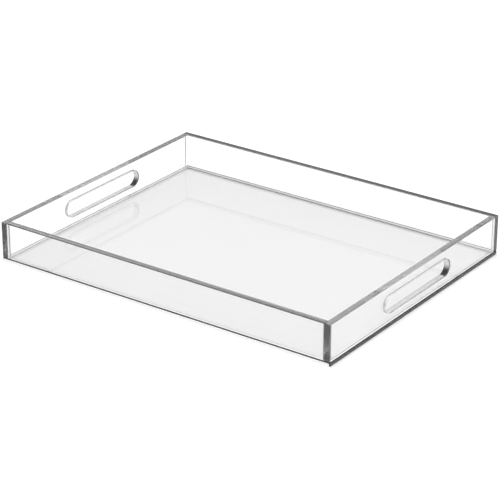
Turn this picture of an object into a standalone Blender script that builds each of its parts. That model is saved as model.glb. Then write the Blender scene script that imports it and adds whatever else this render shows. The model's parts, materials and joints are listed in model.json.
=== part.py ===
"""Clear acrylic vanity tray, modelled at real size.

Frame: metres, +Z up, +X along the long side. The origin is the middle of the underside,
so the base rests on Z = 0. One base panel carries four upright walls. The back wall runs the
full length. The two end walls, each with a hand slot, run from the front of the tray to the
back wall, and the front wall stands between them. A thin film of cured cement fills each of
the eight joints.
"""

import math

import bpy

# ---- Driving dimensions, in metres -------------------------------------------------
LENGTH = 0.457
WIDTH = 0.355
HEIGHT = 0.050
BASE_THICKNESS = 0.005
WALL_THICKNESS = 0.008
EDGE_EASE = 0.0004  # the sheet's edges are polished to a small round
EASE_SEGMENTS = 2

SLOT_LENGTH = 0.136  # end to end, with fully round ends
SLOT_HEIGHT = 0.020
SLOT_BELOW_RIM = 0.0133
SLOT_ARC_STEPS = 16  # straight steps in each round end

FILM = 0.0003  # thickness of the cured cement
CLEARANCE = 0.0003  # air kept between a film and each panel it bonds
FILM_INSET = 0.0006  # a film stops this far inside the panel's faces

# ---- Sizes that follow from them ---------------------------------------------------
HALF_LENGTH = LENGTH / 2
HALF_WIDTH = WIDTH / 2
JOINT = FILM + 2 * CLEARANCE
WALL_FOOT = BASE_THICKNESS + JOINT
WALL_HEIGHT = HEIGHT - WALL_FOOT
WALL_MIDDLE = WALL_FOOT + WALL_HEIGHT / 2
FRONT_WALL_LENGTH = LENGTH - 2 * (WALL_THICKNESS + JOINT)
END_WALL_LENGTH = WIDTH - WALL_THICKNESS - JOINT
SLOT_MIDDLE = HEIGHT - SLOT_BELOW_RIM - SLOT_HEIGHT / 2
FILM_WIDTH = WALL_THICKNESS - 2 * FILM_INSET
LONG_WALL_Y = HALF_WIDTH - WALL_THICKNESS / 2
END_WALL_X = HALF_LENGTH - WALL_THICKNESS / 2
END_WALL_Y = -(WALL_THICKNESS + JOINT) / 2  # it reaches the front but not the back


# ---- Scene -------------------------------------------------------------------------
def clear_scene():
    for obj in list(bpy.data.objects):
        bpy.data.objects.remove(obj, do_unlink=True)


def new_collection(name):
    collection = bpy.data.collections.new(name)
    bpy.context.scene.collection.children.link(collection)
    return collection


def place_under(obj, parent, collection):
    """Move obj into the collection and hang it on the parent empty."""
    for current in list(obj.users_collection):
        current.objects.unlink(obj)
    collection.objects.link(obj)
    obj.parent = parent


# ---- Materials ---------------------------------------------------------------------
def clear_material(name, colour, roughness, alpha):
    """A clear plastic: almost colourless, see-through and not metallic."""
    material = bpy.data.materials.new(name)
    material.use_nodes = True
    shader = material.node_tree.nodes["Principled BSDF"]
    shader.inputs["Base Color"].default_value = (*colour, 1.0)
    shader.inputs["Roughness"].default_value = roughness
    shader.inputs["Metallic"].default_value = 0.0
    shader.inputs["IOR"].default_value = 1.49
    shader.inputs["Alpha"].default_value = alpha
    return material


def acrylic_for(node):
    return clear_material(node + "_acrylic", (0.93, 0.94, 0.94), 0.04, 0.3)


def cement_for(node):
    return clear_material(node + "_cement", (0.80, 0.81, 0.81), 0.35, 0.6)


# ---- Shapes ------------------------------------------------------------------------
def box(name, size, centre):
    """A plain box, with its scale applied so that an edge round keeps its true width."""
    bpy.ops.mesh.primitive_cube_add(size=1.0, location=centre)
    obj = bpy.context.object
    obj.name = name
    obj.data.name = name
    obj.scale = size
    bpy.ops.object.transform_apply(location=False, rotation=False, scale=True)
    return obj


def ease_edges(obj):
    """Round every sharp edge a little, as polishing does."""
    ease = obj.modifiers.new("eased_edges", "BEVEL")
    ease.width = EDGE_EASE
    ease.segments = EASE_SEGMENTS
    ease.limit_method = "ANGLE"
    ease.angle_limit = math.radians(60)


def panel(name, size, centre, parent, collection):
    """A rectangular panel of sheet acrylic."""
    obj = box(name, size, centre)
    ease_edges(obj)
    obj.data.materials.append(acrylic_for(name))
    place_under(obj, parent, collection)
    return obj


def film(name, size, centre, parent, collection):
    """The cured cement in one straight joint."""
    obj = box(name, size, centre)
    obj.data.materials.append(cement_for(name))
    place_under(obj, parent, collection)
    return obj


def rectangle_points(width, height):
    return [
        (-width / 2, -height / 2),
        (width / 2, -height / 2),
        (width / 2, height / 2),
        (-width / 2, height / 2),
    ]


def slot_points():
    """A slot with two half-circle ends, about the slot's own middle."""
    radius = SLOT_HEIGHT / 2
    reach = SLOT_LENGTH / 2 - radius
    points = []
    for side in (1, -1):
        for step in range(SLOT_ARC_STEPS + 1):
            angle = side * math.pi / 2 - math.pi * step / SLOT_ARC_STEPS
            points.append((side * reach + radius * math.cos(angle), radius * math.sin(angle)))
    return points


def add_outline(curve, points, shift=0.0, rise=0.0):
    """One closed outline of straight steps in a flat curve, moved along and up."""
    spline = curve.splines.new("POLY")
    spline.points.add(len(points) - 1)
    for point, (along, up) in zip(spline.points, points):
        point.co = (along + shift, up + rise, 0.0, 1.0)
    spline.use_cyclic_u = True


def end_wall(name, side, parent, collection):
    """An upright end wall with its hand slot. side is -1 at the left and 1 at the right."""
    curve = bpy.data.curves.new(name, "CURVE")
    curve.dimensions = "2D"
    curve.fill_mode = "BOTH"
    curve.extrude = WALL_THICKNESS / 2
    add_outline(curve, rectangle_points(END_WALL_LENGTH, WALL_HEIGHT))
    add_outline(curve, slot_points(), -END_WALL_Y, SLOT_MIDDLE - WALL_MIDDLE)
    obj = bpy.data.objects.new(name, curve)
    obj.location = (side * END_WALL_X, END_WALL_Y, WALL_MIDDLE)
    obj.rotation_euler = (math.pi / 2, 0.0, math.pi / 2)
    collection.objects.link(obj)
    obj.parent = parent
    weld = obj.modifiers.new("joined_caps", "WELD")
    weld.merge_threshold = 0.00001
    ease_edges(obj)
    curve.materials.append(acrylic_for(name))
    return obj


# ---- The tray ----------------------------------------------------------------------
def build_panels(parent, collection):
    """The base, the two long walls and the two slotted end walls."""
    base_size = (LENGTH, WIDTH, BASE_THICKNESS)
    panel("base_panel", base_size, (0.0, 0.0, BASE_THICKNESS / 2), parent, collection)
    for name, side, length in (("front", -1, FRONT_WALL_LENGTH), ("back", 1, LENGTH)):
        size = (length, WALL_THICKNESS, WALL_HEIGHT)
        panel(name + "_wall", size, (0.0, side * LONG_WALL_Y, WALL_MIDDLE), parent, collection)
    end_wall("left_end_wall", -1, parent, collection)
    end_wall("right_end_wall", 1, parent, collection)


def build_base_films(parent, collection):
    """The films between the base and the foot of each wall."""
    rise = BASE_THICKNESS + CLEARANCE + FILM / 2
    for name, side, length in (("front", -1, FRONT_WALL_LENGTH), ("back", 1, LENGTH)):
        size = (length - 2 * FILM_INSET, FILM_WIDTH, FILM)
        film("base_seam_" + name, size, (0.0, side * LONG_WALL_Y, rise), parent, collection)
    size = (FILM_WIDTH, END_WALL_LENGTH - 2 * FILM_INSET, FILM)
    for name, side in (("left", -1), ("right", 1)):
        centre = (side * END_WALL_X, END_WALL_Y, rise)
        film("base_seam_" + name, size, centre, parent, collection)


def build_corner_films(parent, collection):
    """The upright films where one wall's end meets another wall's inner face."""
    film_height = WALL_HEIGHT - 2 * FILM_INSET
    depth = WALL_THICKNESS + CLEARANCE + FILM / 2
    for name, side in (("left", -1), ("right", 1)):
        front_size = (FILM, FILM_WIDTH, film_height)
        front_centre = (side * (HALF_LENGTH - depth), -LONG_WALL_Y, WALL_MIDDLE)
        film("corner_seam_front_" + name, front_size, front_centre, parent, collection)
        back_size = (FILM_WIDTH, FILM, film_height)
        back_centre = (side * END_WALL_X, HALF_WIDTH - depth, WALL_MIDDLE)
        film("corner_seam_back_" + name, back_size, back_centre, parent, collection)


def main():
    clear_scene()
    collection = new_collection("dresser_vanity_tray")
    frame = bpy.data.objects.new("tray_frame", None)
    frame.empty_display_size = 0.1
    collection.objects.link(frame)
    build_panels(frame, collection)
    build_base_films(frame, collection)
    build_corner_films(frame, collection)


main()
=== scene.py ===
# %% [markdown]
# # A clear acrylic vanity tray
# The real tray is five pieces of clear cast acrylic sheet: one base and four upright walls.
# The two end walls have a routed hand slot. A thin line of solvent cement holds each joint.
# Clear plastic shows almost nothing of itself. What the eye reads is its edges, its joints and
# what light does on the long way through the sheet, so most of this lesson is about those.

# %% The frame
import math

import bpy
from mathutils import Matrix, Vector
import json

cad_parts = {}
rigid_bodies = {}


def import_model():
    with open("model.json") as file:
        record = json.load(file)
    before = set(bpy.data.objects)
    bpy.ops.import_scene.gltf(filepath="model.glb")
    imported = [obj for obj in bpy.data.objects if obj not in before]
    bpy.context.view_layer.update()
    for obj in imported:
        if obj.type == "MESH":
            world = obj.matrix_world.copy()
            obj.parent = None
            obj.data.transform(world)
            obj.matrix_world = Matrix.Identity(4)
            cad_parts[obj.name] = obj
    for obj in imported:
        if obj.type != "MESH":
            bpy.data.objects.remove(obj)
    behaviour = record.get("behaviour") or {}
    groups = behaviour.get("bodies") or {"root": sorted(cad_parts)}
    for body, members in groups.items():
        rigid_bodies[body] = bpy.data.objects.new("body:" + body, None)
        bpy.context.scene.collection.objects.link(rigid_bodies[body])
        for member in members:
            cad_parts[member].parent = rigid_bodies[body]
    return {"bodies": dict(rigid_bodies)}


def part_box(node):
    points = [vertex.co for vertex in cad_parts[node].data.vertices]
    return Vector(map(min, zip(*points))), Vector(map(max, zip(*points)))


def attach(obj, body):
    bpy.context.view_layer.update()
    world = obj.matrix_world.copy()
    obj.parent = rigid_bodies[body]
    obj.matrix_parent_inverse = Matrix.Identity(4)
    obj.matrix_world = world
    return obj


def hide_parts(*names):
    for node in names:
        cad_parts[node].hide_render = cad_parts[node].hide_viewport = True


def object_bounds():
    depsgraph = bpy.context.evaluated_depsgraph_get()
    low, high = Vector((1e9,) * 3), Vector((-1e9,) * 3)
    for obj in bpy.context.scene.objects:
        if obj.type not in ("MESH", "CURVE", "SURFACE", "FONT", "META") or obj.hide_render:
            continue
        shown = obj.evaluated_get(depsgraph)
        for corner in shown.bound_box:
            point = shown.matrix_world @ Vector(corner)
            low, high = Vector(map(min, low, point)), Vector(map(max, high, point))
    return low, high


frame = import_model()
cad_low, cad_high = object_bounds()
tray_size = cad_high - cad_low
body = sorted(frame["bodies"])[0]
print("CAD box in mm:", [round(side * 1000, 1) for side in tray_size], "on body", body)

# %% [markdown]
# ## The camera
# The tray is seen over its front right corner with a long lens, so its sides stay nearly
# parallel. The place of the camera is given in tray lengths, which keeps the same view if the
# tray is ever made larger. Its turn comes from the direction that it looks back along, with
# a very small roll on top.

# %% Camera
LENS = 152.06
VIEW_AZIMUTH = math.radians(35.49)
VIEW_ELEVATION = math.radians(24.434)
VIEW_ROLL = math.radians(0.15)
eye = Vector((2.855, -4.008, 2.257)) * tray_size.x
camera_data = bpy.data.cameras.new("studio_camera")
camera_data.lens = LENS
camera_data.sensor_width = 36
camera_data.clip_end = 100
camera = bpy.data.objects.new("studio_camera", camera_data)
bpy.context.scene.collection.objects.link(camera)
backward = Vector(
    (
        math.sin(VIEW_AZIMUTH) * math.cos(VIEW_ELEVATION),
        -math.cos(VIEW_AZIMUTH) * math.cos(VIEW_ELEVATION),
        math.sin(VIEW_ELEVATION),
    )
)
rightward = Vector((0, 0, 1)).cross(backward).normalized()
upward = backward.cross(rightward)
facing = Matrix((rightward, upward, backward)).transposed().to_4x4()
camera.matrix_world = Matrix.Translation(eye) @ facing @ Matrix.Rotation(VIEW_ROLL, 4, "Z")
bpy.context.scene.camera = camera
print("camera stands", round(eye.length, 2), "m from the middle of the tray")

# %% [markdown]
# ## Letting light travel inside the sheet
# A ray that enters a polished edge bounces along inside the sheet many times before it leaves,
# as in a light guide. Each bounce is a total internal reflection. A renderer that gives up
# early paints those paths black, so the limits are raised. The blur that saves noise on
# glossy paths is switched off too, because it also dims the floor seen through the sheet.

# %% Light paths
paths = bpy.context.scene.cycles
paths.max_bounces = 200
paths.transmission_bounces = 200
paths.glossy_bounces = 200
paths.diffuse_bounces = 8
paths.blur_glossy = 0.0
paths.sample_clamp_indirect = 10.0
bpy.context.scene.view_settings.view_transform = "Standard"
print("bounces allowed:", paths.max_bounces)

# %% [markdown]
# ## The studio
# Clear objects are lit by what stands round them. In an evenly white room the tray would
# vanish, so the light here is a white sky that grows dimmer towards the horizon. That is the
# same as a big soft box overhead and a grey band low down, and it draws the edges.

# %% Studio light
SKY_STEPS = [(0.0, 0.30), (0.20, 0.50), (0.50, 1.15), (1.0, 1.25)]
sky = bpy.data.worlds.new("soft_studio")
bpy.context.scene.world = sky
sky.use_nodes = True
sky_nodes = sky.node_tree.nodes
sky_links = sky.node_tree.links
sky_nodes.clear()
sky_out = sky_nodes.new("ShaderNodeOutputWorld")
sky_light = sky_nodes.new("ShaderNodeBackground")
sky_place = sky_nodes.new("ShaderNodeTexCoord")
sky_split = sky_nodes.new("ShaderNodeSeparateXYZ")
sky_ramp = sky_nodes.new("ShaderNodeValToRGB")
sky_links.new(sky_place.outputs["Generated"], sky_split.inputs[0])
sky_links.new(sky_split.outputs["Z"], sky_ramp.inputs[0])
sky_links.new(sky_ramp.outputs["Color"], sky_light.inputs["Color"])
sky_links.new(sky_light.outputs[0], sky_out.inputs["Surface"])
while len(sky_ramp.color_ramp.elements) < len(SKY_STEPS):
    sky_ramp.color_ramp.elements.new(0.5)
for stop, (height, value) in zip(sky_ramp.color_ramp.elements, SKY_STEPS):
    stop.position = height
    stop.color = (value, value, value, 1.0)
print("sky steps:", SKY_STEPS)

# %% [markdown]
# The floor is a plain matt white sheet. It lies a hair below the tray, so the two surfaces
# never share a plane, which would flicker between them. It also glows a little, which no real
# floor does: that keeps it close to white under a sky that is dim low down.

# %% Studio floor
FLOOR_DROP = 0.0001
FLOOR_REACH = 30.0
FLOOR_WHITE = 0.95
FLOOR_GLOW = 0.15
floor_mesh = bpy.data.meshes.new("studio_floor")
floor_corners = []
for across, along in ((-1, -1), (1, -1), (1, 1), (-1, 1)):
    floor_corners.append((across * FLOOR_REACH, along * FLOOR_REACH, -FLOOR_DROP))
floor_mesh.from_pydata(floor_corners, [], [(0, 1, 2, 3)])
floor = bpy.data.objects.new("studio_floor", floor_mesh)
bpy.context.scene.collection.objects.link(floor)
floor_paint = bpy.data.materials.new("matt_white")
floor_paint.use_nodes = True
floor_shader = floor_paint.node_tree.nodes["Principled BSDF"]
floor_shader.inputs["Base Color"].default_value = (FLOOR_WHITE, FLOOR_WHITE, FLOOR_WHITE, 1.0)
floor_shader.inputs["Roughness"].default_value = 1.0
floor_shader.inputs["Specular IOR Level"].default_value = 0.0
floor_shader.inputs["Emission Color"].default_value = (1.0, 1.0, 1.0, 1.0)
floor_shader.inputs["Emission Strength"].default_value = FLOOR_GLOW
floor_mesh.materials.append(floor_paint)
print("floor lies", FLOOR_DROP * 1000, "mm under the tray")

# %% [markdown]
# ## Small helpers for node trees
# Every shared effect here is a node group, and every group is built the same way: named
# sockets first, then nodes, then links. These helpers keep that short.


# %% Node helpers
def add_socket(group, label, kind, direction, value=None):
    """One named socket on a node group."""
    socket = group.interface.new_socket(label, in_out=direction, socket_type=kind)
    if value is not None:
        socket.default_value = value
    return socket


def add_node(tree, kind, **settings):
    """One node, with its settings."""
    made = tree.nodes.new(kind)
    for key, value in settings.items():
        setattr(made, key, value)
    return made


def shader_group(name, inputs, outputs):
    """An empty shader group with float inputs and float outputs."""
    group = bpy.data.node_groups.new(name, "ShaderNodeTree")
    for label, value in inputs:
        add_socket(group, label, "NodeSocketFloat", "INPUT", value)
    for label in outputs:
        add_socket(group, label, "NodeSocketFloat", "OUTPUT")
    group_in = add_node(group, "NodeGroupInput")
    group_out = add_node(group, "NodeGroupOutput")
    return group, group_in, group_out


def maths(tree, operation, first, second=None, clamp=False):
    """A Math node fed by sockets or plain numbers. Gives its output socket."""
    made = add_node(tree, "ShaderNodeMath", operation=operation, use_clamp=clamp)
    for place, value in enumerate((first, second)):
        if value is None:
            continue
        if isinstance(value, (int, float)):
            made.inputs[place].default_value = value
        else:
            tree.links.new(value, made.inputs[place])
    return made.outputs[0]


print("helpers ready")

# %% [markdown]
# ## Handling marks
# A tray that is wiped clean every week carries very fine hairlines, a few specks of dust and
# the slow ripple of cast sheet. Hairlines are a noise stretched until it is only streaks and
# then cut down to its thin crests. Dust is the middle of scattered cells. One group makes all
# of them, and each finish takes as much as suits it.


# %% Handling marks group
def hairlines(group, place, turn, stretch, fineness):
    """Thin streaks in one direction: stretched noise, of which only the crest is kept."""
    turned = add_node(group, "ShaderNodeMapping")
    turned.inputs["Rotation"].default_value = turn
    turned.inputs["Scale"].default_value = stretch
    group.links.new(place, turned.inputs["Vector"])
    streak = add_node(group, "ShaderNodeTexNoise")
    streak.inputs["Detail"].default_value = 2.0
    streak.inputs["Scale"].default_value = fineness
    group.links.new(turned.outputs[0], streak.inputs["Vector"])
    far = maths(group, "SUBTRACT", streak.outputs["Fac"], 0.5)
    near = maths(group, "ABSOLUTE", far)
    thin = maths(group, "MULTIPLY", near, 60.0)
    return maths(group, "SUBTRACT", 1.0, thin, clamp=True)


marks, marks_in, marks_out = shader_group(
    "handling_marks",
    [("Hairline Amount", 0.3), ("Dust Scale", 160.0), ("Dust Amount", 0.3), ("Ripple Scale", 14.0)],
    ["Haze", "Ripple"],
)
marks_place = add_node(marks, "ShaderNodeTexCoord").outputs["Object"]
first_set = hairlines(marks, marks_place, (0.5, 0.3, 0.7), (1.0, 26.0, 26.0), 9.0)
second_set = hairlines(marks, marks_place, (1.1, 2.0, 0.2), (1.0, 22.0, 22.0), 11.0)
both_sets = maths(marks, "MAXIMUM", first_set, second_set)
patches = add_node(marks, "ShaderNodeTexNoise")
patches.inputs["Scale"].default_value = 24.0
marks.links.new(marks_place, patches.inputs["Vector"])
patch_mask = maths(marks, "SUBTRACT", patches.outputs["Fac"], 0.52)
patch_strength = maths(marks, "MULTIPLY", patch_mask, 6.0, clamp=True)
kept_lines = maths(marks, "MULTIPLY", both_sets, patch_strength)
line_haze = maths(marks, "MULTIPLY", kept_lines, marks_in.outputs["Hairline Amount"])
specks = add_node(marks, "ShaderNodeTexVoronoi")
marks.links.new(marks_place, specks.inputs["Vector"])
marks.links.new(marks_in.outputs["Dust Scale"], specks.inputs["Scale"])
speck_size = add_node(marks, "ShaderNodeSeparateColor")
marks.links.new(specks.outputs["Color"], speck_size.inputs[0])
speck_reach = maths(marks, "MULTIPLY", speck_size.outputs[0], 0.10)
speck_shape = maths(marks, "LESS_THAN", specks.outputs["Distance"], speck_reach)
speck_haze = maths(marks, "MULTIPLY", speck_shape, marks_in.outputs["Dust Amount"])
marks.links.new(maths(marks, "MAXIMUM", line_haze, speck_haze), marks_out.inputs["Haze"])
ripple = add_node(marks, "ShaderNodeTexNoise")
ripple.inputs["Detail"].default_value = 1.0
marks.links.new(marks_place, ripple.inputs["Vector"])
marks.links.new(marks_in.outputs["Ripple Scale"], ripple.inputs["Scale"])
marks.links.new(ripple.outputs["Fac"], marks_out.inputs["Ripple"])
print("handling marks:", len(marks.nodes), "nodes")

# %% [markdown]
# ## Tool lines
# A cut edge is sawn, scraped and then polished. Faint lines from the scraper stay in it, along
# its length, and the polish is never quite even. The same group serves the routed slots.

# %% Tool lines group
tooled, tooled_in, tooled_out = shader_group(
    "tool_lines",
    [("Line Spacing", 0.0004), ("Polish Scale", 60.0)],
    ["Lines", "Polish"],
)
tooled_place = add_node(tooled, "ShaderNodeTexCoord").outputs["Object"]
fineness = maths(tooled, "DIVIDE", 1.0, tooled_in.outputs["Line Spacing"])
squeeze = add_node(tooled, "ShaderNodeMapping")
squeeze.inputs["Scale"].default_value = (0.02, 0.02, 1.0)
tooled.links.new(tooled_place, squeeze.inputs["Vector"])
tool_noise = add_node(tooled, "ShaderNodeTexNoise")
tooled.links.new(squeeze.outputs[0], tool_noise.inputs["Vector"])
tooled.links.new(fineness, tool_noise.inputs["Scale"])
tooled.links.new(tool_noise.outputs["Fac"], tooled_out.inputs["Lines"])
polish_noise = add_node(tooled, "ShaderNodeTexNoise")
tooled.links.new(tooled_place, polish_noise.inputs["Vector"])
tooled.links.new(tooled_in.outputs["Polish Scale"], polish_noise.inputs["Scale"])
tooled.links.new(polish_noise.outputs["Fac"], tooled_out.inputs["Polish"])
print("tool lines:", len(tooled.nodes), "nodes")

# %% [markdown]
# ## The acrylic
# Acrylic bends light by 1.49 and is clear right through, but not perfectly: over half a metre
# of path inside the sheet it goes noticeably grey. That is a volume absorption, and it is what
# makes a long edge dark while the face of the same sheet looks like nothing at all.
# A real tray is one plastic all over. Here the faces, rims, ends, slots and eased corners have
# a finish each, and their tints are chosen for this light and this view. They are a
# painter's means and not measured properties of the plastic.
# The grey tints of the base face, the end and back rims, the panel ends, the slot ends and the
# eased corners are painted shade, not colour of the plastic.

# %% Acrylic finishes
ACRYLIC_IOR = 1.49
ACRYLIC_DARKENING = 4.5


def clear_finish(name, tint_and_painted_shade, smooth, hazy, group, values, rough_from, bump_from, bump_height):
    """A clear finish. Roughness runs from smooth to hazy over one of the group's outputs."""
    material = bpy.data.materials.new(name)
    material.use_nodes = True
    tree = material.node_tree
    shader = tree.nodes["Principled BSDF"]
    shader.inputs["Base Color"].default_value = (*tint_and_painted_shade, 1.0)
    shader.inputs["Metallic"].default_value = 0.0
    shader.inputs["IOR"].default_value = ACRYLIC_IOR
    shader.inputs["Transmission Weight"].default_value = 1.0
    effect = add_node(tree, "ShaderNodeGroup", node_tree=group)
    for label, value in values.items():
        effect.inputs[label].default_value = value
    spread = maths(tree, "MULTIPLY", effect.outputs[rough_from], hazy - smooth)
    rough = maths(tree, "ADD", spread, smooth, clamp=True)
    tree.links.new(rough, shader.inputs["Roughness"])
    bump = add_node(tree, "ShaderNodeBump")
    bump.inputs["Distance"].default_value = bump_height
    tree.links.new(effect.outputs[bump_from], bump.inputs["Height"])
    tree.links.new(bump.outputs["Normal"], shader.inputs["Normal"])
    depth = add_node(tree, "ShaderNodeVolumeAbsorption")
    depth.inputs["Color"].default_value = (0.0, 0.0, 0.0, 1.0)
    depth.inputs["Density"].default_value = ACRYLIC_DARKENING
    tree.links.new(depth.outputs[0], tree.nodes["Material Output"].inputs["Volume"])
    return material


WIPED = {"Hairline Amount": 1.0, "Dust Scale": 160.0, "Dust Amount": 0.3, "Ripple Scale": 14.0}
SCRAPED = {"Line Spacing": 0.0004, "Polish Scale": 60.0}


def sheet_face(name, tint_and_painted_shade):
    """The factory face of the sheet, with its handling marks."""
    return clear_finish(name, tint_and_painted_shade, 0.0, 0.12, marks, WIPED, "Haze", "Ripple", 0.00002)


def cut_edge(name, tint_and_painted_shade, smooth, hazy):
    """A cut edge, from smooth to hazy over the uneven polish."""
    return clear_finish(name, tint_and_painted_shade, smooth, hazy, tooled, SCRAPED, "Polish", "Lines", 0.000002)


def grey(value):
    """A colourless grey, for the plastic's own greying and for painted shade."""
    return (value, value, value)


print("acrylic bends light by", ACRYLIC_IOR)

# %% [markdown]
# Three finishes are less clear than the rest. The base's front edge is frosted: it lets less
# light through and has a small painted glow, which acrylic doesn't have. The routed slots are
# slightly milky. The back end of each slot has painted shade: dark low down, clearing with height.

# %% Acrylic tints and painted shade
WALL_FACE_TINT = 0.985
# painted shade: greys the floor seen through the base
BASE_FACE_PAINTED_SHADE = 0.87
# painted shade in the rims of the end walls
END_RIM_PAINTED_SHADE = 0.65
FRONT_RIM_TINT = 1.0
# painted shade: the back wall's rim and outer top edge nearly black
BACK_RIM_PAINTED_SHADE = 0.04
# painted shade in the sawn front ends of the end walls
END_FACE_PAINTED_SHADE = 0.25
# painted shade: the front wall's ends, against the end walls, black
JOINT_END_PAINTED_SHADE = 0.0
SLOT_TINT = 1.0
# painted shade at the back end of each slot
SLOT_END_PAINTED_SHADE = 0.0
# painted shade: a light grey in the other eased corners
EASED_CORNER_PAINTED_SHADE = 0.8
# painted shade in the inner feet of the back and end walls, where they meet the base
FOOT_EASE_PAINTED_SHADE = 0.1
# painted shade: the outer eased edges of the front wall and the base nearly black
OUTER_EASE_PAINTED_SHADE = 0.02
FROST_CLEARNESS = 0.3
# a painted glow in the base's front edge
FRONT_EDGE_PAINTED_GLOW = 0.2
SLOT_CLEARNESS = 0.6
# painted shade at the back end of each slot: how clear it is, and the heights over which its black
# fades out
SLOT_END_SHADE_CLEARNESS = 0.3
SLOT_END_SHADE_FOOT = 0.0195
SLOT_END_SHADE_HEAD = 0.0285
# Most of these materials carry painted shade in their colour, from the values above.
face_finish = sheet_face("acrylic_wall_face", grey(WALL_FACE_TINT))
base_face_painted_shade_material = sheet_face("acrylic_base_face_painted_shade", grey(BASE_FACE_PAINTED_SHADE))
edge_finish = cut_edge("acrylic_polished_edge", grey(1.0), 0.0, 0.10)
end_rim_painted_shade_material = cut_edge("acrylic_end_rim_painted_shade", grey(END_RIM_PAINTED_SHADE), 0.0, 0.10)
front_rim_finish = cut_edge("acrylic_front_rim", grey(FRONT_RIM_TINT), 0.0, 0.10)
back_rim_painted_shade_material = cut_edge("acrylic_back_rim_painted_shade", grey(BACK_RIM_PAINTED_SHADE), 0.0, 0.10)
end_face_painted_shade_material = cut_edge("acrylic_end_face_painted_shade", grey(END_FACE_PAINTED_SHADE), 0.0, 0.10)
joint_end_painted_shade_material = cut_edge("acrylic_joint_end_painted_shade", grey(JOINT_END_PAINTED_SHADE), 0.0, 0.10)
# the base's front edge: frosted, with a painted glow
frosted_edge_painted_glow_material = cut_edge("acrylic_frosted_edge_painted_glow", grey(1.0), 0.5, 0.7)
frosted_glow_shader = frosted_edge_painted_glow_material.node_tree.nodes["Principled BSDF"]
frosted_glow_shader.inputs["Transmission Weight"].default_value = FROST_CLEARNESS
frosted_glow_shader.inputs["Emission Color"].default_value = (1.0, 1.0, 1.0, 1.0)
frosted_glow_shader.inputs["Emission Strength"].default_value = FRONT_EDGE_PAINTED_GLOW
slot_finish = cut_edge("acrylic_routed_slot", grey(SLOT_TINT), 0.1, 0.3)
slot_shader = slot_finish.node_tree.nodes["Principled BSDF"]
slot_shader.inputs["Transmission Weight"].default_value = SLOT_CLEARNESS
# the back end of each slot: painted shade, black below the lower height and fading out by the upper
# one
slot_end_painted_shade_material = cut_edge("acrylic_slot_end_painted_shade", grey(SLOT_END_PAINTED_SHADE), 0.1, 0.3)
slot_end_shade_tree = slot_end_painted_shade_material.node_tree
slot_end_shade_place = add_node(slot_end_shade_tree, "ShaderNodeTexCoord")
slot_end_shade_split = add_node(slot_end_shade_tree, "ShaderNodeSeparateXYZ")
slot_end_shade_fade = add_node(slot_end_shade_tree, "ShaderNodeMapRange", interpolation_type="SMOOTHSTEP")
slot_end_shade_fade.inputs["From Min"].default_value = SLOT_END_SHADE_FOOT
slot_end_shade_fade.inputs["From Max"].default_value = SLOT_END_SHADE_HEAD
slot_end_shade_tree.links.new(slot_end_shade_place.outputs["Object"], slot_end_shade_split.inputs[0])
slot_end_shade_tree.links.new(slot_end_shade_split.outputs["Z"], slot_end_shade_fade.inputs["Value"])
slot_end_shade_shader = slot_end_shade_tree.nodes["Principled BSDF"]
slot_end_shade_tree.links.new(slot_end_shade_fade.outputs[0], slot_end_shade_shader.inputs["Base Color"])
slot_end_shade_shader.inputs["Transmission Weight"].default_value = SLOT_END_SHADE_CLEARNESS
eased_corner_painted_shade_material = cut_edge("acrylic_eased_corner_painted_shade", grey(EASED_CORNER_PAINTED_SHADE), 0.05, 0.20)
foot_ease_painted_shade_material = cut_edge("acrylic_foot_ease_painted_shade", grey(FOOT_EASE_PAINTED_SHADE), 0.05, 0.20)
outer_ease_painted_shade_material = cut_edge("acrylic_outer_ease_painted_shade", grey(OUTER_EASE_PAINTED_SHADE), 0.05, 0.20)
print("acrylic finishes made: 14")

# %% [markdown]
# ## The cured cement
# Solvent cement melts the two faces together and dries clear, but a little cloudier than the
# sheet, with strings of tiny bubbles. Its cloudiness comes from the polish noise of the same
# group, at a smaller scale.

# %% Cement finish
CLOUDED = {"Line Spacing": 0.0008, "Polish Scale": 400.0}
cement_finish = clear_finish(
    "cured_cement_film", (0.97, 0.97, 0.97), 0.02, 0.25, tooled, CLOUDED, "Polish", "Lines", 0.00001
)
print("cement finish:", cement_finish.name)

# %% [markdown]
# ## The panel tree
# Every panel follows one rule: a rectangle, perhaps with a round-ended slot through it, given
# the thickness of the sheet. Geometry Nodes can state that rule once. The slot is a rectangle
# with its corners rounded by half its height, which makes the two ends full half circles.


# %% Panel tree
def geometry_tree(name, sockets):
    """A Geometry Nodes tree with named inputs and one geometry output."""
    tree = bpy.data.node_groups.new(name, "GeometryNodeTree")
    add_socket(tree, "Geometry", "NodeSocketGeometry", "OUTPUT")
    for label, kind, value in sockets:
        add_socket(tree, label, kind, "INPUT", value)
    return tree, add_node(tree, "NodeGroupInput"), add_node(tree, "NodeGroupOutput")


panel_tree, panel_in, panel_out = geometry_tree(
    "sheet_panel",
    [
        ("Length", "NodeSocketFloat", 0.3),
        ("Height", "NodeSocketFloat", 0.05),
        ("Thickness", "NodeSocketFloat", 0.008),
        ("Has Slot", "NodeSocketBool", False),
        ("Slot Length", "NodeSocketFloat", 0.14),
        ("Slot Height", "NodeSocketFloat", 0.02),
        ("Slot Rise", "NodeSocketFloat", 0.0),
        ("Slot Shift", "NodeSocketFloat", 0.0),
        ("Arc Steps", "NodeSocketInt", 24),
        ("Centre", "NodeSocketVector", None),
        ("Turn", "NodeSocketVector", None),
        ("Outward", "NodeSocketVector", None),
        ("Foot Level", "NodeSocketFloat", -1.0),
        ("Foot Ease", "NodeSocketFloat", 1.0),
        ("Finish", "NodeSocketMaterial", None),
    ],
)
outline = add_node(panel_tree, "GeometryNodeCurvePrimitiveQuadrilateral")
panel_tree.links.new(panel_in.outputs["Length"], outline.inputs["Width"])
panel_tree.links.new(panel_in.outputs["Height"], outline.inputs["Height"])
slot_box = add_node(panel_tree, "GeometryNodeCurvePrimitiveQuadrilateral")
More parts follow.
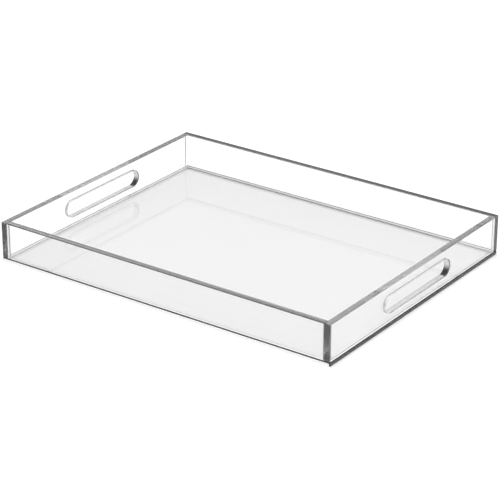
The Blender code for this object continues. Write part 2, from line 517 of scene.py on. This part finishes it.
panel_tree.links.new(panel_in.outputs["Slot Length"], slot_box.inputs["Width"])
panel_tree.links.new(panel_in.outputs["Slot Height"], slot_box.inputs["Height"])
slot_radius = maths(panel_tree, "MULTIPLY", panel_in.outputs["Slot Height"], 0.4999)
slot_round = add_node(panel_tree, "GeometryNodeFilletCurve", mode="POLY")
panel_tree.links.new(slot_box.outputs[0], slot_round.inputs["Curve"])
panel_tree.links.new(slot_radius, slot_round.inputs["Radius"])
panel_tree.links.new(panel_in.outputs["Arc Steps"], slot_round.inputs["Count"])
slot_lift = add_node(panel_tree, "ShaderNodeCombineXYZ")
panel_tree.links.new(panel_in.outputs["Slot Rise"], slot_lift.inputs["Y"])
panel_tree.links.new(panel_in.outputs["Slot Shift"], slot_lift.inputs["X"])
slot_moved = add_node(panel_tree, "GeometryNodeTransform")
panel_tree.links.new(slot_round.outputs[0], slot_moved.inputs["Geometry"])
panel_tree.links.new(slot_lift.outputs[0], slot_moved.inputs["Translation"])
slot_choice = add_node(panel_tree, "GeometryNodeSwitch", input_type="GEOMETRY")
panel_tree.links.new(panel_in.outputs["Has Slot"], slot_choice.inputs["Switch"])
panel_tree.links.new(slot_moved.outputs[0], slot_choice.inputs["True"])
outlines = add_node(panel_tree, "GeometryNodeJoinGeometry")
panel_tree.links.new(outline.outputs[0], outlines.inputs[0])
panel_tree.links.new(slot_choice.outputs[0], outlines.inputs[0])
flat = add_node(panel_tree, "GeometryNodeFillCurve", mode="NGONS")
panel_tree.links.new(outlines.outputs[0], flat.inputs["Curve"])
depth_up = add_node(panel_tree, "GeometryNodeExtrudeMesh")
depth_up.inputs["Individual"].default_value = False
panel_tree.links.new(flat.outputs[0], depth_up.inputs["Mesh"])
panel_tree.links.new(panel_in.outputs["Thickness"], depth_up.inputs["Offset Scale"])
under = add_node(panel_tree, "GeometryNodeFlipFaces")
panel_tree.links.new(flat.outputs[0], under.inputs["Mesh"])
shell = add_node(panel_tree, "GeometryNodeJoinGeometry")
panel_tree.links.new(depth_up.outputs["Mesh"], shell.inputs[0])
panel_tree.links.new(under.outputs[0], shell.inputs[0])
closed = add_node(panel_tree, "GeometryNodeMergeByDistance")
closed.inputs["Distance"].default_value = 0.000001
panel_tree.links.new(shell.outputs[0], closed.inputs["Geometry"])
half = maths(panel_tree, "MULTIPLY", panel_in.outputs["Thickness"], -0.5)
half_down = add_node(panel_tree, "ShaderNodeCombineXYZ")
panel_tree.links.new(half, half_down.inputs["Z"])
centred = add_node(panel_tree, "GeometryNodeTransform")
panel_tree.links.new(closed.outputs[0], centred.inputs["Geometry"])
panel_tree.links.new(half_down.outputs[0], centred.inputs["Translation"])
placed = add_node(panel_tree, "GeometryNodeTransform")
panel_tree.links.new(centred.outputs[0], placed.inputs["Geometry"])
panel_tree.links.new(panel_in.outputs["Centre"], placed.inputs["Translation"])
panel_tree.links.new(panel_in.outputs["Turn"], placed.inputs["Rotation"])
edge_place = add_node(panel_tree, "GeometryNodeInputPosition")
from_centre = add_node(panel_tree, "ShaderNodeVectorMath", operation="SUBTRACT")
panel_tree.links.new(edge_place.outputs[0], from_centre.inputs[0])
panel_tree.links.new(panel_in.outputs["Centre"], from_centre.inputs[1])
outside_part = add_node(panel_tree, "ShaderNodeVectorMath", operation="DOT_PRODUCT")
panel_tree.links.new(from_centre.outputs[0], outside_part.inputs[0])
panel_tree.links.new(panel_in.outputs["Outward"], outside_part.inputs[1])
edge_split = add_node(panel_tree, "ShaderNodeSeparateXYZ")
panel_tree.links.new(edge_place.outputs[0], edge_split.inputs[0])
inside = maths(panel_tree, "LESS_THAN", outside_part.outputs["Value"], 0.0)
at_foot = maths(panel_tree, "LESS_THAN", edge_split.outputs["Z"], panel_in.outputs["Foot Level"])
inner_foot = maths(panel_tree, "MULTIPLY", inside, at_foot)
held_back = maths(panel_tree, "SUBTRACT", 1.0, panel_in.outputs["Foot Ease"])
lost_ease = maths(panel_tree, "MULTIPLY", inner_foot, held_back)
kept_ease = maths(panel_tree, "SUBTRACT", 1.0, lost_ease)
edge_angle = add_node(panel_tree, "GeometryNodeInputMeshEdgeAngle")
is_corner = maths(panel_tree, "GREATER_THAN", edge_angle.outputs["Unsigned Angle"], 1.0)
eased = add_node(
    panel_tree, "GeometryNodeStoreNamedAttribute", data_type="FLOAT", domain="EDGE"
)
eased.inputs["Name"].default_value = "bevel_weight_edge"
panel_tree.links.new(placed.outputs[0], eased.inputs["Geometry"])
panel_tree.links.new(maths(panel_tree, "MULTIPLY", is_corner, kept_ease), eased.inputs["Value"])
panel_smooth = add_node(panel_tree, "GeometryNodeSetShadeSmooth")
panel_tree.links.new(eased.outputs[0], panel_smooth.inputs[0])
panel_real = add_node(panel_tree, "GeometryNodeRealizeInstances")
panel_tree.links.new(panel_smooth.outputs[0], panel_real.inputs[0])
panel_painted = add_node(panel_tree, "GeometryNodeSetMaterial")
panel_tree.links.new(panel_real.outputs[0], panel_painted.inputs["Geometry"])
panel_tree.links.new(panel_in.outputs["Finish"], panel_painted.inputs["Material"])
panel_tree.links.new(panel_painted.outputs[0], panel_out.inputs[0])
print("panel tree:", len(panel_tree.nodes), "nodes")

# %% [markdown]
# ## From tree to piece
# A tree is only a recipe. To make a piece, the recipe gets its numbers, the sharp corners are
# eased with a bevel, and the result is frozen into a plain mesh. The flat faces must stay
# optically flat, so the normals are weighted by face size: the big faces keep theirs, and
# only the small rounded strips are shaded smooth.


# %% Growing a piece
EASE_WIDTH = 0.0009
EASE_STEPS = 3


def grow(name, tree, values, ease=0.0):
    """Run a tree with these inputs, ease its corners and freeze it into a plain mesh object."""
    obj = bpy.data.objects.new(name, bpy.data.meshes.new(name))
    bpy.context.scene.collection.objects.link(obj)
    recipe = obj.modifiers.new("recipe", "NODES")
    recipe.node_group = tree
    for item in tree.interface.items_tree:
        if item.item_type == "SOCKET" and item.in_out == "INPUT" and item.name in values:
            recipe[item.identifier] = values[item.name]
    if ease > 0.0:
        rounding = obj.modifiers.new("eased", "BEVEL")
        rounding.width = ease
        rounding.segments = EASE_STEPS
        rounding.limit_method = "WEIGHT"
        rounding.use_clamp_overlap = False
        evened = obj.modifiers.new("flat_faces", "WEIGHTED_NORMAL")
        evened.weight = 100
        evened.keep_sharp = False
    graph = bpy.context.evaluated_depsgraph_get()
    baked = bpy.data.meshes.new_from_object(obj.evaluated_get(graph), depsgraph=graph)
    obj.modifiers.clear()
    old = obj.data
    obj.data = baked
    baked.name = name
    bpy.data.meshes.remove(old)
    print(name, "has", len(baked.polygons), "faces")
    return obj


SIDES = {"left": (0, -1), "right": (0, 1), "front": (1, -1), "back": (1, 1), "rim": (2, 1)}


def ease_label(normal, thin_axis, outward):
    """Which eased corner of its panel a narrow face lies on."""
    outside = normal[thin_axis] * outward > 0.0
    if thin_axis == 2:
        return "front" if normal.y < -0.1 and normal.z < 0.0 else "outer ease"
    if normal.z > 0.1:
        return "outer ease" if outside else "ease"
    if normal.z < -0.1:
        return "outer foot" if outside else "foot ease"
    return "ease"


def slot_label(polygon, narrow, straight):
    """Which part of the slot a face lies on. straight is half the slot's straight length."""
    if polygon.center.y < -straight:
        return "slot"
    if narrow:
        return "ease"
    # the back end of the slot gets painted shade
    return "burnish" if polygon.center.y > straight else "slot"


def side_label(polygon, thin_axis, outward, order, slot_box):
    """Which side of its panel a face lies on, as the name of a finish."""
    normal = polygon.normal
    across = abs(normal[thin_axis])
    if across > 0.999:
        return "face"
    if slot_box and abs(polygon.center.y) < slot_box[0]:
        if slot_box[1] < polygon.center.z < slot_box[2]:
            return slot_label(polygon, across > 0.001, slot_box[3])
    if across > 0.001:
        label = ease_label(normal, thin_axis, outward)
        return label if label in order else "ease"
    for side in order:
        axis, sign = SIDES.get(side, (0, 0))
        if normal[axis] * sign > 0.999:
            return side
    return "edge"


def lay_finishes(obj, thin_axis, outward, finishes, slot_box=None):
    """Give the faces, the cut sides, the slot and the eased corners their own finishes.
    outward is the side of the tray's outside along the thin axis. slot_box is the slot's
    half length, its bottom, its top and half its straight length."""
    # several of these finishes carry painted shade in their colour
    mesh = obj.data
    mesh.materials.clear()
    order = list(finishes)
    for label in order:
        mesh.materials.append(finishes[label])
    for polygon in mesh.polygons:
        label = side_label(polygon, thin_axis, outward, order, slot_box)
        polygon.material_index = order.index(label)


def finish_piece(obj, slot, *nodes):
    """Hand a finished piece to the frame, in place of its CAD nodes."""
    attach(obj, body)
    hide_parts(*nodes)


# %% [markdown]
# ## The base panel
# The base lies under all four walls and is cut to the full size of the tray.

# %% Base panel
base_low, base_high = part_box("base_panel")
base_size = base_high - base_low
base_panel = grow(
    "clear_base",
    panel_tree,
    {
        "Length": base_size.x,
        "Height": base_size.y,
        "Thickness": base_size.z,
        "Centre": (base_low + base_high) / 2,
        "Finish": face_finish,
    },
    EASE_WIDTH,
)
lay_finishes(
    base_panel,
    2,
    1,
    {
        "face": base_face_painted_shade_material,
        "edge": edge_finish,
        "ease": eased_corner_painted_shade_material,
        "outer ease": outer_ease_painted_shade_material,
        # the base's front edge: frosted, with a painted glow
        "front": frosted_edge_painted_glow_material,
    },
)
finish_piece(base_panel, "clear_acrylic", "base_panel")
print("base in mm:", [round(side * 1000, 1) for side in base_size])

# %% [markdown]
# ## The long walls
# The back wall runs the full length. The front wall is shorter, because it stands between the
# end walls. Both stand on the base with a joint so thin that the eye reads it as a line. The
# inner edge of a wall's foot is eased only half as far as the others.

# %% Long walls
JOINT = 0.0002
FOOT_EASE = 0.5
wall_foot = base_high.z + JOINT
left_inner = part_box("left_end_wall")[1].x
right_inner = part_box("right_end_wall")[0].x
back_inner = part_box("back_wall")[0].y


def long_wall(name, node, outward, finishes, between=False):
    """A wall along the length, standing on the base, full or between the end walls."""
    low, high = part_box(node)
    low.z = wall_foot
    if between:
        low.x = left_inner + JOINT
        high.x = right_inner - JOINT
    size = high - low
    values = {
        "Length": size.x,
        "Height": size.z,
        "Thickness": size.y,
        "Centre": (low + high) / 2,
        "Turn": (math.pi / 2, 0.0, 0.0),
        "Outward": (0.0, outward, 0.0),
        "Foot Level": wall_foot + JOINT,
        "Foot Ease": FOOT_EASE,
        "Finish": face_finish,
    }
    wall = grow(name, panel_tree, values, EASE_WIDTH)
    every = {"face": face_finish, "edge": edge_finish, "ease": eased_corner_painted_shade_material}
    lay_finishes(wall, 1, outward, every | finishes)
    finish_piece(wall, "clear_acrylic", node)
    print(name, "in mm:", [round(side * 1000, 1) for side in size])


# painted shade on the front wall's ends, outer edges and inner foot; the rim stays clear
front_wall_rim_and_painted_shades = {
    "rim": front_rim_finish,
    "left": joint_end_painted_shade_material,
    "right": joint_end_painted_shade_material,
    "outer ease": outer_ease_painted_shade_material,
    "outer foot": outer_ease_painted_shade_material,
    "foot ease": eased_corner_painted_shade_material,
}
# painted shade on the back wall's rim, outer top edge and inner foot
back_wall_painted_shades = {
    "rim": back_rim_painted_shade_material,
    "outer ease": back_rim_painted_shade_material,
    "foot ease": foot_ease_painted_shade_material,
}
long_wall("clear_front_wall", "front_wall", -1, front_wall_rim_and_painted_shades, between=True)
long_wall("clear_back_wall", "back_wall", 1, back_wall_painted_shades)

# %% [markdown]
# ## The end walls
# The end walls reach the front of the tray, so their sawn ends show at the two front corners.
# At the back they stop against the back wall. Each has a hand slot with round ends, just under
# the rim, routed before the edges are eased.

# %% End walls
SLOT_LENGTH = 0.136
SLOT_HEIGHT = 0.020
SLOT_BELOW_RIM = 0.0133


def end_wall(name, node, outward):
    """A slotted wall, from the front of the tray to the back wall."""
    low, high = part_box(node)
    low.z = wall_foot
    low.y = base_low.y
    high.y = back_inner - JOINT
    size = high - low
    slot_middle = high.z - SLOT_BELOW_RIM - SLOT_HEIGHT / 2
    values = {
        "Length": size.y,
        "Height": size.z,
        "Thickness": size.x,
        "Has Slot": True,
        "Slot Length": SLOT_LENGTH,
        "Slot Height": SLOT_HEIGHT,
        "Slot Rise": slot_middle - (low.z + high.z) / 2,
        "Slot Shift": -(low.y + high.y) / 2,
        "Centre": (low + high) / 2,
        "Turn": (math.pi / 2, 0.0, math.pi / 2),
        "Outward": (outward, 0.0, 0.0),
        "Foot Level": wall_foot + JOINT,
        "Foot Ease": FOOT_EASE,
        "Finish": face_finish,
    }
    wall = grow(name, panel_tree, values, EASE_WIDTH)
    # painted shade in the rim, the front end, the eased corners and the back end of the slot
    finishes = {
        "face": face_finish,
        "edge": edge_finish,
        "ease": eased_corner_painted_shade_material,
        "foot ease": foot_ease_painted_shade_material,
        "rim": end_rim_painted_shade_material,
        "front": end_face_painted_shade_material,
        "slot": slot_finish,
        "burnish": slot_end_painted_shade_material,
    }
    reach = SLOT_HEIGHT / 2 + 0.002
    straight = (SLOT_LENGTH - SLOT_HEIGHT) / 2
    slot_box = (SLOT_LENGTH / 2 + 0.001, slot_middle - reach, slot_middle + reach, straight)
    lay_finishes(wall, 0, outward, finishes, slot_box)
    finish_piece(wall, "clear_acrylic", node)
    print(name, "in mm:", [round(side * 1000, 1) for side in size])


end_wall("clear_left_end", "left_end_wall", -1)
end_wall("clear_right_end", "right_end_wall", 1)

# %% [markdown]
# ## The cement tree
# A cemented joint is a thin film with small bubbles. The film is a flat box. The bubbles are
# scattered over its faces and then drawn to its middle plane and a little in from its sides,
# so that each lies inside the film as a hollow. "Flatten" is zero along the film's thin side
# and just under one along the others.

# %% Cement tree
film_tree, film_in, film_out = geometry_tree(
    "cement_film",
    [
        ("Size", "NodeSocketVector", None),
        ("Centre", "NodeSocketVector", None),
        ("Flatten", "NodeSocketVector", None),
        ("Bubble Density", "NodeSocketFloat", 40000.0),
        ("Bubble Radius", "NodeSocketFloat", 0.00003),
        ("Seed", "NodeSocketInt", 1),
        ("Finish", "NodeSocketMaterial", None),
    ],
)
film_box = add_node(film_tree, "GeometryNodeMeshCube")
film_tree.links.new(film_in.outputs["Size"], film_box.inputs["Size"])
scattered = add_node(film_tree, "GeometryNodeDistributePointsOnFaces")
film_tree.links.new(film_box.outputs["Mesh"], scattered.inputs["Mesh"])
film_tree.links.new(film_in.outputs["Bubble Density"], scattered.inputs["Density"])
film_tree.links.new(film_in.outputs["Seed"], scattered.inputs["Seed"])
bubble_place = add_node(film_tree, "GeometryNodeInputPosition")
midway = add_node(film_tree, "ShaderNodeVectorMath", operation="MULTIPLY")
film_tree.links.new(bubble_place.outputs[0], midway.inputs[0])
film_tree.links.new(film_in.outputs["Flatten"], midway.inputs[1])
inside_film = add_node(film_tree, "GeometryNodeSetPosition")
film_tree.links.new(scattered.outputs["Points"], inside_film.inputs["Geometry"])
film_tree.links.new(midway.outputs[0], inside_film.inputs["Position"])
ball = add_node(film_tree, "GeometryNodeMeshIcoSphere")
film_tree.links.new(film_in.outputs["Bubble Radius"], ball.inputs["Radius"])
hollow = add_node(film_tree, "GeometryNodeFlipFaces")
film_tree.links.new(ball.outputs["Mesh"], hollow.inputs["Mesh"])
bubbles = add_node(film_tree, "GeometryNodeInstanceOnPoints")
film_tree.links.new(inside_film.outputs[0], bubbles.inputs["Points"])
film_tree.links.new(hollow.outputs[0], bubbles.inputs["Instance"])
film_whole = add_node(film_tree, "GeometryNodeJoinGeometry")
film_tree.links.new(film_box.outputs["Mesh"], film_whole.inputs[0])
film_tree.links.new(bubbles.outputs[0], film_whole.inputs[0])
film_placed = add_node(film_tree, "GeometryNodeTransform")
film_tree.links.new(film_whole.outputs[0], film_placed.inputs["Geometry"])
film_tree.links.new(film_in.outputs["Centre"], film_placed.inputs["Translation"])
film_real = add_node(film_tree, "GeometryNodeRealizeInstances")
film_tree.links.new(film_placed.outputs[0], film_real.inputs[0])
film_painted = add_node(film_tree, "GeometryNodeSetMaterial")
film_tree.links.new(film_real.outputs[0], film_painted.inputs["Geometry"])
film_tree.links.new(film_in.outputs["Finish"], film_painted.inputs["Material"])
film_tree.links.new(film_painted.outputs[0], film_out.inputs[0])
print("cement tree:", len(film_tree.nodes), "nodes")

# %% [markdown]
# ## The eight joints
# Four films lie under the feet of the walls and four stand upright in the corners.

# %% Cement joints
FILM_SHARE = 0.5
BUBBLE_SPREAD = 0.98


def cement_joint(node, thin_axis, middle, seed):
    """The film in one joint, thinned to lie between the two panels without touching them."""
    low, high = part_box(node)
    size = high - low
    centre = (low + high) / 2
    size[thin_axis] = JOINT * FILM_SHARE
    centre[thin_axis] = middle
    flatten = Vector((BUBBLE_SPREAD, BUBBLE_SPREAD, BUBBLE_SPREAD))
    flatten[thin_axis] = 0.0
    values = {
        "Size": size,
        "Centre": centre,
        "Flatten": flatten,
        "Seed": seed,
        "Finish": cement_finish,
    }
    film = grow("cement_" + node, film_tree, values)
    finish_piece(film, "cured_cement", node)
    return film


foot_middle = base_high.z + JOINT / 2
seams = []
for count, side in enumerate(("front", "back", "left", "right")):
    seams.append(cement_joint("base_seam_" + side, 2, foot_middle, count + 1))
seams.append(cement_joint("corner_seam_front_left", 0, left_inner + JOINT / 2, 11))
seams.append(cement_joint("corner_seam_front_right", 0, right_inner - JOINT / 2, 12))
seams.append(cement_joint("corner_seam_back_left", 1, back_inner - JOINT / 2, 13))
seams.append(cement_joint("corner_seam_back_right", 1, back_inner - JOINT / 2, 14))
print(len(seams), "joints cemented")

# %% [markdown]
# ## The size
# The visible tray has to be the size of the CAD tray.

# %% Sizes
import json
